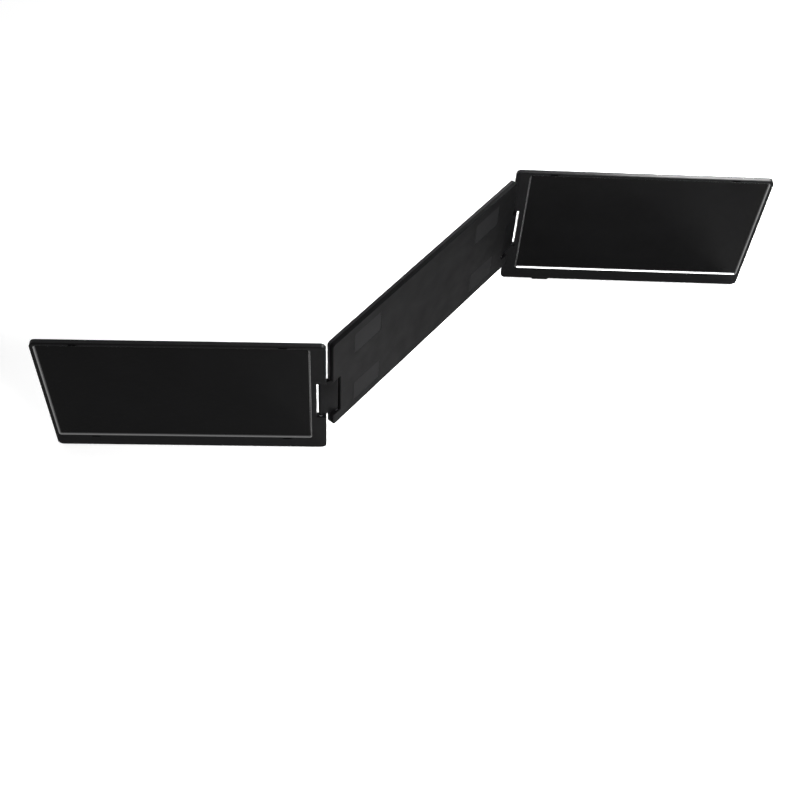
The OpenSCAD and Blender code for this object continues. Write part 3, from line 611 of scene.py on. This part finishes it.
def slab_cutter(low, high, radius, pairs, place):
    """A cutter with a rounded outline that grows by each pair's first value at its depth."""
    rings = [at_depth(rounded_outline(low, high, radius, -grow), depth) for grow, depth in pairs]
    return skin("cutter", rings, place, "rubber")


def round_cutter(centre, pairs, place, steps=28):
    """A cutter turned about a line into the depth, from (radius, depth) pairs."""
    rings = [at_depth(circle(centre, radius, steps), depth) for radius, depth in pairs]
    return skin("cutter", rings, place, "rubber")


print("a flared profile:", flared(1.0, 7.0, 2.0, 0.25, 0.5))


# %% Cutting
CUT_SOLVER = "EXACT"         # slower than the others, and right where faces lie on each other


def settle(piece):
    """Applies the piece's modifiers to its mesh."""
    graph = bpy.context.evaluated_depsgraph_get()
    mesh = bpy.data.meshes.new_from_object(piece.evaluated_get(graph))
    piece.modifiers.clear()
    piece.data = mesh


def joined(name, pieces):
    """Several closed pieces, with the same finish, as one object."""
    work = bmesh.new()
    for piece in pieces:
        work.from_mesh(piece.data)
    mesh = bpy.data.meshes.new(name)
    work.to_mesh(mesh)
    work.free()
    mesh.materials.append(pieces[0].data.materials[0])
    for piece in pieces:
        bpy.data.objects.remove(piece)
    made = bpy.data.objects.new(name, mesh)
    scene.collection.objects.link(made)
    return made


def carve(piece, cutters, operation="DIFFERENCE"):
    """Cuts closed cutters, which don't touch each other, out of a piece, or with UNION
    joins them on."""
    tool = joined("cutter", cutters)
    cut = piece.modifiers.new("cut", "BOOLEAN")
    cut.operation, cut.solver, cut.object = operation, CUT_SOLVER, tool
    settle(piece)
    bpy.data.objects.remove(tool)
    return piece


print("booleans use the solver", CUT_SOLVER)

# %% Dressing
casing_sharp = 25


def dress(piece, body, node, sharp=32):
    """Shades a finished piece smooth up to the angle sharp, gives it to its body and lets
    it stand for its node."""
    piece.data.shade_smooth()
    piece.data.set_sharp_from_angle(angle=np.radians(sharp))
    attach(piece, body)
    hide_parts(node)
    print(piece.name, len(piece.data.polygons), "faces")


print("casings are shaded smooth up to", casing_sharp, "degrees")

# %% [markdown]
# ## Bezels
# The bezel is a thin frame that drops to the display in a 45 degree slope. It has
# a notch on its hinge side, where the link plate stands. A flat plate with a hole
# would need two cuts and a bevel. A ring that is carried round the frame's
# cross-section gives the soft outer edge, the flat front and the slope in one go,
# and the notch's walls simply fan out to the window's straight side.

# %% Bezel sizes
screen_corner, screen_edge = 6.0, 0.6
screen_notch_deep, notch_h = 11.1, 64.0
hinge_margin, outer_margin, lower_margin, upper_margin = 17.2, 4.2, 19.9, 3.3
window_corner = 3.2
slope = seam

link_low, link_high = span("left_link_plate", screen_places["left"])
notch_middle = (link_low[2] + link_high[2]) / 2
notch_low, notch_high = notch_middle - notch_h / 2, notch_middle + notch_h / 2
window_low = (hinge_margin, lower_margin)
window_high = (screen_w - outer_margin, screen_h - upper_margin)
print("window", np.round(np.subtract(window_high, window_low), 2), "mm")

# %% Bezel outlines
FAN = 1.0                    # the window's points lie within this of their notch wall's height


def screen_outline(inset):
    """The screen housing's outline with its notch, moved inwards by inset."""
    body = rounded_outline((0, 0), (screen_w, screen_h), screen_corner, inset)
    return np.concatenate([body, notch_outline(0, screen_notch_deep, notch_low, notch_high, inset)])


def window_outline(inset):
    """The window's outline, and on its hinge side as many points at each notch wall's
    height as that wall has, in even steps."""
    body = rounded_outline(window_low, window_high, window_corner, inset)
    heights = np.concatenate([np.linspace(wall + FAN, wall - FAN, 2 * NOTCH_STEPS)
                              for wall in (notch_high, notch_low)])
    side = np.stack([np.full(len(heights), window_low[0] + inset), heights], 1)
    return np.concatenate([body, side])


print("points:", len(screen_outline(0.0)), "outside,", len(window_outline(0.0)), "at the window")

# %% Bumper places
bumper_w, bumper_h, bumper_lift = 9.5, 2.0, 0.4
bumper_seat, bumper_gap, pocket_corner = 0.8, 0.3, 0.6
pocket_draft, pocket_past = 0.04, 1.0
bumper_low, bumper_high = span("left_bumpers", screen_places["left"])
bumper_x = (bumper_low[0], bumper_high[0] - bumper_w)
bumper_z = (bumper_low[2], bumper_high[2] - bumper_h)
bumper_boxes = [((x, z), (x + bumper_w, z + bumper_h)) for x in bumper_x for z in bumper_z]
bumper_pocket = [(bumper_gap + pocket_draft, -pocket_past), (bumper_gap, bumper_seat)]
print("bumpers start at", [tuple(np.round(low, 1).tolist()) for low, _ in bumper_boxes])

# %% Bezels
# The lip ends at lip_end. From there the slope lies slope_drop deeper than its inset, up to
# root_flat before the display, and polished_share of it is polished.
lip_end, slope_drop, root_flat, polished_share = 0.2, 0.04, 0.1, 0.55
lip_rows = [(-0.2, 0.0), (-0.1, 0.015), (0.0, 0.06), (0.1, 0.14), (lip_end, lip_end + slope_drop)]
root_start = slope - root_flat
polished_to = lip_end + polished_share * (root_start - lip_end)
root_rows = [(polished_to, polished_to + slope_drop), (root_start, root_start + slope_drop),
             (slope, seam)]


def bezel(side):
    """The frame as one closed ring of (inset, depth) pairs: up the outer edge, over the
    front face, round the lip, down the slope and back along the flat back."""
    place = screen_places[side]
    rings = [at_depth(screen_outline(0.0), seam)]
    rings += [at_depth(screen_outline(i), d) for i, d in round_edge(screen_edge)]
    lip = len(rings)
    root = lip + len(lip_rows)
    rings += [at_depth(window_outline(i), d) for i, d in lip_rows + root_rows]
    piece = skin(side + "_bezel_frame", rings, place, "bezel", torus=True)
    around, last = len(rings[0]), len(rings) - 1
    slots = np.zeros(len(piece.data.polygons), np.int32)
    slots[(lip + 1) * around:root * around] = 1
    slots[root * around:last * around] = 2
    piece.data.materials.append(finishes["bevel"])
    piece.data.materials.append(finishes["bevel_root"])
    piece.data.polygons.foreach_set("material_index", slots)
    carve(piece, [slab_cutter(*box, pocket_corner, bumper_pocket, place) for box in bumper_boxes])
    dress(piece, side + "_screen", side + "_bezel", sharp=casing_sharp)


for side in SIDES:
    bezel(side)

# %% [markdown]
# ## Back covers
# The back cover is a shallow tray. It could be a solid box with a second box cut
# out of it, but then its wall would follow neither the corners nor the notch. One
# outline function gives its outside and, with the wall as the inset, its inside.
# The vents, key holes and screw seats are cut afterwards. The places of the keys
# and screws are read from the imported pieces, so that the holes meet them.

# %% Back cover sizes
cover_wall, cover_floor, cover_edge, cover_edge_steps = 1.6, 1.2, 1.1, 7
through = 2.0                # cutters reach this far under the back, past the cover's floor
vent_first, vent_pitch, vent_count = 42.0, 7.0, 14
vent_low, vent_high, vent_w, vent_chamfer = 4.5, 13.0, 1.4, 0.25
key_hole_r, key_chamfer = 2.9, 0.3
seat_r, seat_deep, seat_chamfer = 1.8, 0.7, 0.2
KEYS = ("power", "plus", "minus")


def middle_of(node, place):
    """The middle of a node, across and up."""
    low, high = span(node, place)
    return (low[0] + high[0]) / 2, (low[2] + high[2]) / 2


key_centres = [middle_of(f"left_{key}_key", screen_places["left"]) for key in KEYS]
print("keys at", np.round(key_centres, 1).tolist())


# %% Middles of a node's solids
def solid_centres(node, place):
    """Middles of a node's separate solids, across and up. Each vertex takes the lowest
    label among the vertices it shares a face with, and that label's own, until no label
    changes: then each solid has one label."""
    mesh = frame["nodes"][node].data
    corners = np.empty(len(mesh.loops), np.int32)
    mesh.loops.foreach_get("vertex_index", corners)
    points = points_of(node)
    _, same = np.unique(np.round(points / MM, 3), axis=0, return_inverse=True)
    faces = same.ravel()[corners.reshape(-1, 3)]
    labels, before = np.arange(same.max() + 1), None
    while before is None or (labels != before).any():
        before = labels.copy()
        lowest = labels[faces].min(1)
        for corner in range(3):
            np.minimum.at(labels, faces[:, corner], lowest)
        labels = labels[labels]
    origin, axes = place
    own = (points - origin) @ axes.T / MM
    own_label = labels[same.ravel()]
    middles = [(own[own_label == each].min(0) + own[own_label == each].max(0)) / 2
               for each in np.unique(own_label)]
    return np.array(middles)[:, [0, 2]]


cover_screw_centres = solid_centres("left_cover_screws", screen_places["left"])
print("cover screws:", len(cover_screw_centres))


# %% Holes in the back
def screw_seats(centres, surface, place):
    """A shallow round seat with a chamfered mouth for each screw's head."""
    pairs = flared(seat_r, surface, seat_deep, seat_chamfer, 2 * seat_chamfer)
    return [round_cutter(centre, pairs, place) for centre in centres]


def cover_cutters(place):
    """Vents, key holes and screw seats, all cut from the back."""
    vent = flared(0.0, screen_t, through, vent_chamfer, 2 * vent_chamfer)
    starts = vent_first + vent_pitch * np.arange(vent_count)
    made = [slab_cutter((x, vent_low), (x + vent_w, vent_high), slot_radius(vent_w), vent, place)
            for x in starts]
    key_hole = flared(key_hole_r, screen_t, through, key_chamfer, 2 * key_chamfer)
    made += [round_cutter(centre, key_hole, place) for centre in key_centres]
    return made + screw_seats(cover_screw_centres, screen_t, place)


print("vents from", vent_first, "to", vent_first + vent_pitch * (vent_count - 1) + vent_w, "mm")

# %% [markdown]
# ## Socket mouths
# Each screen has two power and data sockets and one video socket on its hinge
# side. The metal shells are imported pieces, and what is cut here is the opening in
# the plastic round them. It is a little larger than the shell and flares
# outwards, as the plug's collar needs. The cutter is the same kind of skin, with
# its rings stacked across the screen instead of into its depth.

# %% Socket mouths
usb_w, video_corner = 8.94, 0.5
socket_gap, socket_deep, socket_chamfer, socket_flare = 0.15, 3.0, 0.3, 0.4
socket_steps = 6
port_starts, port_ends = span("left_usb_sockets", screen_places["left"])
port_low, port_high = port_starts[1], port_ends[1]
video_low, video_high = span("left_video_socket", screen_places["left"])
socket_mouths = [((port_low, z), (port_high, z + usb_w), slot_radius(port_high - port_low))
                 for z in (port_starts[2], port_ends[2] - usb_w)]
socket_mouths.append((video_low[1:], video_high[1:], video_corner))


def socket_cutters(place):
    """The mouths of the three sockets, in the wall at the hinge side."""
    pairs = flared(socket_gap, 0.0, -socket_deep, -socket_chamfer, socket_flare)
    made = []
    for low, high, radius in socket_mouths:
        outlines = [rounded_outline(low, high, radius, -grow, socket_steps) for grow, _ in pairs]
        rings = [np.insert(outline, 0, x, axis=1) for outline, (_, x) in zip(outlines, pairs)]
        made.append(skin("cutter", rings, place, "rubber"))
    return made


print("sockets from", np.round([low[1] for low, _, _ in socket_mouths], 1).tolist(), "mm up")


# %% Back covers
def back_cover(side):
    """A tray as one run of (inset, depth) pairs: from the back round its edge to the rim,
    in by the wall, and down the inside to the floor."""
    place = screen_places[side]
    outside = [(i, screen_t - d) for i, d in round_edge(cover_edge, cover_edge_steps)][::-1]
    pairs = outside + [(0.0, seam), (cover_wall, seam), (cover_wall, screen_t - cover_floor)]
    rings = [at_depth(screen_outline(i), d) for i, d in pairs]
    piece = skin(side + "_back_case", rings, place, "back_cover")
    carve(piece, cover_cutters(place))
    carve(piece, socket_cutters(place))
    dress(piece, side + "_screen", side + "_back_cover", sharp=casing_sharp)


for side in SIDES:
    back_cover(side)

# %% [markdown]
# ## Rubber bumpers
# Four small bumpers on each bezel keep two closed screens apart. They are moulded
# rubber, pressed into pockets, with a soft edge at the front and none at the back.
# A bevel modifier would round both, so the block is a stack of rings whose inset
# follows a quarter circle only near its front.

# %% Bumpers
bumper_corner, bumper_edge, bumper_clearance = 0.75, 0.35, 0.02


def rounded_block(name, low, high, radius, front, depth_back, edge, place, slot_name):
    """A block from its front, whose edge is soft, to its flat back at depth_back."""
    pairs = [(i, front + d) for i, d in round_edge(edge)]
    rings = [at_depth(rounded_outline(low, high, radius, i), d) for i, d in pairs[::-1]]
    rings.append(at_depth(rounded_outline(low, high, radius, 0.0), depth_back))
    return skin(name, rings, place, slot_name)


for side in SIDES:
    blocks = [rounded_block("bumper", *box, bumper_corner, -bumper_lift,
                            bumper_seat - bumper_clearance, bumper_edge, screen_places[side],
                            "rubber") for box in bumper_boxes]
    dress(joined(side + "_rubber_bumpers", blocks), side + "_screen", side + "_bumpers")

# %% [markdown]
# ## Keys
# Each screen has three round keys in a row on its back. A fingertip finds a key
# by its dish, so a plain cylinder with a bevel would miss what makes it a key.
# The cap is a turned profile: it starts at the dish's middle, rises to a soft
# rim and ends in a straight skirt inside the cover.

# %% Keys
key_steps = 40
# Radius, and depth below the rim's highest point.
key_rows = [(0.01, 0.12), (1.2, 0.1), (1.9, 0.04), (2.2, 0.0), (2.42, 0.03), (2.56, 0.14),
            (2.6, 0.3), (2.6, 1.2)]


def key_cap(side, key):
    """A turned cap: every pair of the profile is one circle."""
    node, place = f"{side}_{key}_key", screen_places[side]
    centre, top = middle_of(node, place), span(node, place)[1][1]
    rings = [at_depth(circle(centre, radius, key_steps), top - down) for radius, down in key_rows]
    dress(skin(f"{side}_{key}_cap", rings, place, "key"), node, node)


for side in SIDES:
    for key in KEYS:
        key_cap(side, key)

# %% [markdown]
# ## Link plates
# A link plate is cut from a long extrusion. Its plan is a stadium, with a pin's
# bore at the middle of each half circle. So one outline that is carried up the
# height, with a soft edge at both ends, is the whole plate. The pins fill the
# bores, which are cut all the same, so that the plate is right on its own.

# %% Link plates
link_edge, link_edge_steps = 0.5, 5
bore_r, bore_mouth_r, bore_chamfer, bore_past, bore_steps = 1.3, 1.6, 0.2, 0.3, 32


def link_place(side):
    """Along the plate from the bracket's pin to the screen's, and up from their height."""
    start = np.array(joints[side + "_link_fold"]["pos_m"], float)
    end = np.array(joints[side + "_screen_fold"]["pos_m"], float)
    along = (end - start) / np.linalg.norm(end - start)
    return frame_of(start, along, np.cross([0, 0, 1], along), [0, 0, 1])


def stadium(length, radius, inset, steps=16):
    """Two half circles round the ends of a line, and the straight sides between them."""
    return np.concatenate([arc((length, 0), radius - inset, -90, 90, steps),
                           arc((0, 0), radius - inset, 90, 270, steps)])


def at_height(outline, height):
    """An outline in plan as a ring at that height."""
    return np.stack([outline[:, 0], outline[:, 1], np.full(len(outline), height)], 1)


def link_plate(side):
    """The plate with its two bores, whose mouths are chamfered."""
    place = link_place(side)
    low, high = span(side + "_link_plate", place)
    radius = (high[1] - low[1]) / 2
    length = high[0] - radius
    edge = round_edge(link_edge, link_edge_steps)
    pairs = [(i, high[2] - d) for i, d in edge[::-1]] + [(i, low[2] + d) for i, d in edge]
    rings = [at_height(stadium(length, radius, i), h) for i, h in pairs]
    piece = skin(side + "_link_bar", rings, place, "link")
    rows = [(bore_mouth_r, low[2] - bore_past), (bore_r, low[2] + bore_chamfer),
            (bore_r, high[2] - bore_chamfer), (bore_mouth_r, high[2] + bore_past)]
    bores = [skin("cutter", [at_height(circle((x, 0), r, bore_steps), h) for r, h in rows], place,
                  "rubber") for x in (0.0, length)]
    carve(piece, bores)
    dress(piece, side + "_link", side + "_link_plate")


for side in SIDES:
    link_plate(side)

# %% [markdown]
# ## Bracket
# The bracket is two trays that meet at a seam. Both have the same outline, with
# a notch at each end for a link plate. A mirror modifier could give the second
# end, but it would leave a join down the middle. Here the right notch is the
# left one run backwards, with its sign turned, so the outline stays one loop.

# %% Bracket outline
bracket_corner, bracket_wall, bracket_edge, bracket_edge_steps = 4.0, 1.8, 0.7, 6
bracket_notch_deep = 12.7
_, front_high = span("bracket_front_shell", bracket_place)
_, back_high = span("bracket_back_shell", bracket_place)
bracket_w, bracket_h = front_high[0] * 2, front_high[2] * 2
bracket_seam, bracket_t = front_high[1], back_high[1]
hinge_z = joints["left_link_fold"]["pos_m"][2] / MM


def bracket_outline(inset):
    """The bracket's outline with both notches, moved inwards by inset."""
    corners = rounded_outline((-bracket_w / 2, -bracket_h / 2), (bracket_w / 2, bracket_h / 2),
                              bracket_corner, inset).reshape(4, -1, 2)
    left = notch_outline(-bracket_w / 2, bracket_notch_deep, hinge_z - notch_h / 2,
                         hinge_z + notch_h / 2, inset)
    right = left[::-1] * [-1, 1]
    return np.concatenate([corners[0], corners[1], right, corners[2], corners[3], left])


def bracket_tray(name, face, rim, slot_name):
    """A tray as one run of (inset, depth) pairs: from its face round its edge to the rim,
    in by the wall, and back to a floor as thick as the wall."""
    inwards = 1 if rim > face else -1
    edge = round_edge(bracket_edge, bracket_edge_steps)
    outside = [(i, face + inwards * d) for i, d in edge][::-1]
    pairs = outside + [(0.0, rim), (bracket_wall, rim), (bracket_wall, face + inwards * bracket_wall)]
    return skin(name, [at_depth(bracket_outline(i), d) for i, d in pairs], bracket_place, slot_name)


print("bracket", round(bracket_w, 1), "x", round(bracket_h, 1), "x", round(bracket_t, 1), "mm")

# %% [markdown]
# ## Bracket's front and its pads
# The front lies against the back of a laptop's lid and holds there by silicone
# pads with magnets behind them. A pad that was only laid on the face would peel
# off, so each one sits in a shallow pocket. The pad's block is the same kind as
# the bumper's, only larger and flatter.

# %% Bracket's front shell and pads
pad_w, pad_h, pad_corner, pad_edge = 46.0, 34.0, 3.0, 0.3
pad_low, pad_high = span("lid_pads", bracket_place)
pad_t = pad_high[1]
pad_boxes = [((x, z), (x + pad_w, z + pad_h))
             for x in (pad_low[0], pad_high[0] - pad_w) for z in (pad_low[2], pad_high[2] - pad_h)]
pad_gap, mouth_gap, mouth_past, mouth_deep = 0.2, 0.5, 0.3, 0.1
pad_pocket = [(mouth_gap, -mouth_past), (pad_gap, mouth_deep), (pad_gap, pad_t)]

front_shell = bracket_tray("bracket_front_case", 0.0, bracket_seam, "lid_face")
carve(front_shell, [slab_cutter(*box, pad_corner, pad_pocket, bracket_place) for box in pad_boxes])
dress(front_shell, "bracket", "bracket_front_shell", sharp=casing_sharp)
pads = [rounded_block("pad", *box, pad_corner, 0.0, pad_t - TRACE, pad_edge, bracket_place, "pad")
        for box in pad_boxes]
dress(joined("lid_grip_pads", pads), "bracket", "lid_pads")

# %% [markdown]
# ## Bracket's back and the kickstand's bay
# The kickstand folds flush into a bay in the back shell, and a round grip at its
# tip leaves room for a finger. The shell's floor is thinner than the bay is deep,
# so a block is joined on behind it first, as a mould's rib would be, and the bay
# is then cut out of both. The same shape serves twice: grown by a wall it is the
# block, and at its own size it is the cutter.

# %% Kickstand's bay
bay_gap, bay_below, bay_corner, bay_deep, bay_chamfer = 0.5, 5.5, 5.0, 3.1, 0.4
grip_r, grip_steps = 9.0, 48
seam_gap, block_cover = 0.02, 0.6
stand_low, stand_high = span("kickstand", bracket_place)
stand_pin_z = joints["kickstand_hinge"]["pos_m"][2] / MM
bay_low = (stand_low[0] - bay_gap, stand_pin_z - bay_below)
bay_high = (stand_high[0] + bay_gap, stand_high[2] + bay_gap)


def bay_shape(grow, pairs):
    """The bay and the round grip at its tip as one cutter, both grown by grow and by each
    pair's first value at its depth."""
    low = (bay_low[0] - grow, bay_low[1] - grow)
    high = (bay_high[0] + grow, bay_high[1] + grow)
    bay = slab_cutter(low, high, bay_corner + grow, pairs, bracket_place)
    grip_pairs = [(grip_r + grow + wider, depth) for wider, depth in pairs]
    grip = round_cutter((0, stand_high[2]), grip_pairs, bracket_place, grip_steps)
    return carve(bay, [grip], "UNION")


print("bay from", np.round(bay_low, 1), "to", np.round(bay_high, 1))

# %% Bracket's back shell
back_shell = bracket_tray("bracket_back_case", bracket_t, bracket_seam, "bracket_shell")
block_rows = [(0.0, bracket_seam + seam_gap), (0.0, bracket_t - block_cover)]
carve(back_shell, [bay_shape(bracket_wall, block_rows)], "UNION")
bay_rows = flared(0.0, bracket_t, bay_deep, bay_chamfer, 2 * bay_chamfer)
carve(back_shell, [bay_shape(0.0, bay_rows)])
carve(back_shell, screw_seats(solid_centres("bracket_screws", bracket_place), bracket_t,
                              bracket_place))
dress(back_shell, "bracket", "bracket_back_shell", sharp=casing_sharp)

# %% [markdown]
# ## Softened solids
# The kickstand with its knuckle, its rubber strip and the foot have the right
# shape as packed, but knife-sharp edges. Writing them anew would repeat what is
# there. A copy is enough: its triangles are merged into whole faces, and a narrow
# bevel is run along every sharp edge.

# %% Softened solids
merge_m, flat_degrees = 1e-6, 1
bevel_degrees, bevel_steps = 40, 3


def softened(node, body, slot_name, width_mm):
    """A copy of a node with its flat faces joined and its sharp edges bevelled."""
    work = bmesh.new()
    work.from_mesh(frame["nodes"][node].data)
    bmesh.ops.remove_doubles(work, verts=work.verts, dist=merge_m)
    bmesh.ops.dissolve_limit(work, angle_limit=np.radians(flat_degrees), verts=work.verts,
                             edges=work.edges)
    mesh = bpy.data.meshes.new(node + "_soft")
    work.to_mesh(mesh)
    work.free()
    piece = link_object(node + "_soft", mesh, slot_name)
    bevel = piece.modifiers.new("edge", "BEVEL")
    bevel.width, bevel.segments, bevel.limit_method = width_mm * MM, bevel_steps, "ANGLE"
    bevel.angle_limit = np.radians(bevel_degrees)
    bevel.use_clamp_overlap = True
    settle(piece)
    dress(piece, body, node)


softened("kickstand", "kickstand", "kickstand_plate", width_mm=0.2)
softened("kickstand_pad", "kickstand", "rubber", width_mm=0.25)
softened("right_foot", "right_screen", "rubber", width_mm=0.5)
